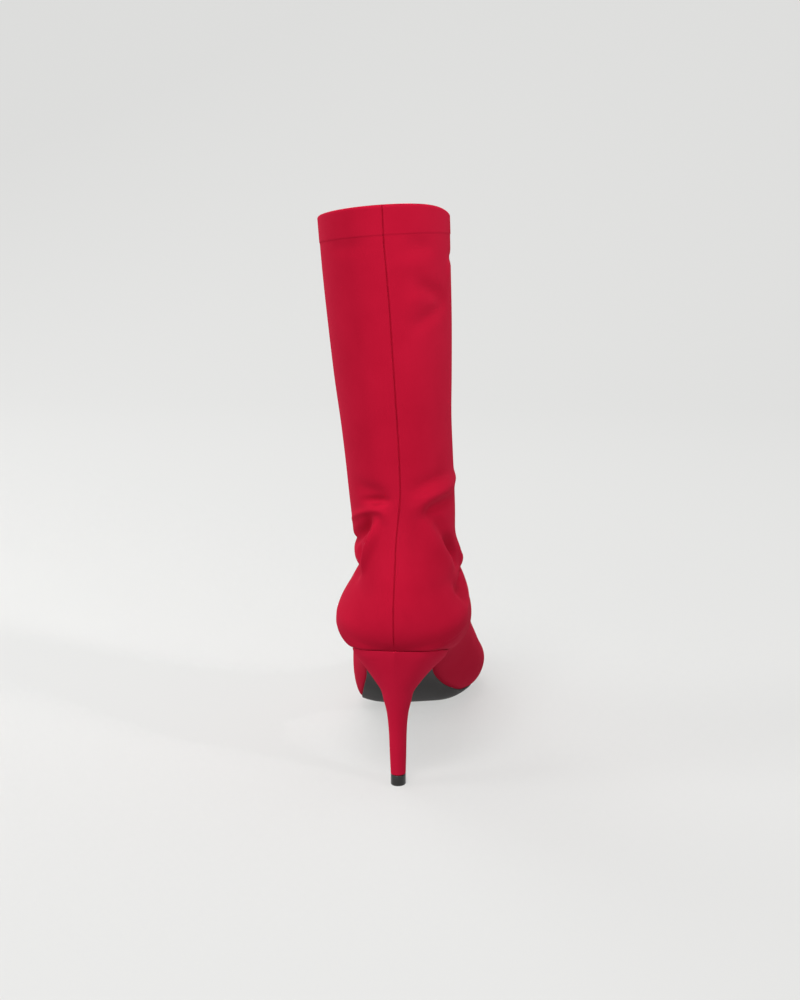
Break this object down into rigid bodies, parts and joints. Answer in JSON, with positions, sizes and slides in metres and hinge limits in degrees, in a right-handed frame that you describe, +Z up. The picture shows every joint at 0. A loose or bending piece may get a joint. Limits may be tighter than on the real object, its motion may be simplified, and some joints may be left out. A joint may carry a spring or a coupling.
{
  "type": "sock boot",
  "caption": "Women's pointed sock boot in stretch fabric with a seamed back, a thin dark outsole and a slim covered stiletto heel, left foot.",
  "frame": {"origin": "middle of the heel tip's resting face, on the floor", "axes": "+Z up, +Y from the heel toward the toe, +X toward the medial side, where the wearer's other foot stands"},
  "size_m": [0.0773, 0.2492, 0.3001],
  "materials": {
    "upper_fabric": "matte",
    "outsole_rubber": "satin",
    "heel_cover": "matte",
    "tip_plastic": "satin",
    "insole_lining": "matte"
  },
  "bodies": {
    "root": {"upper": "upper_fabric", "outsole": "outsole_rubber", "heel": "heel_cover", "heel_tip": "tip_plastic", "insole": "insole_lining"}
  },
  "joints": []
}
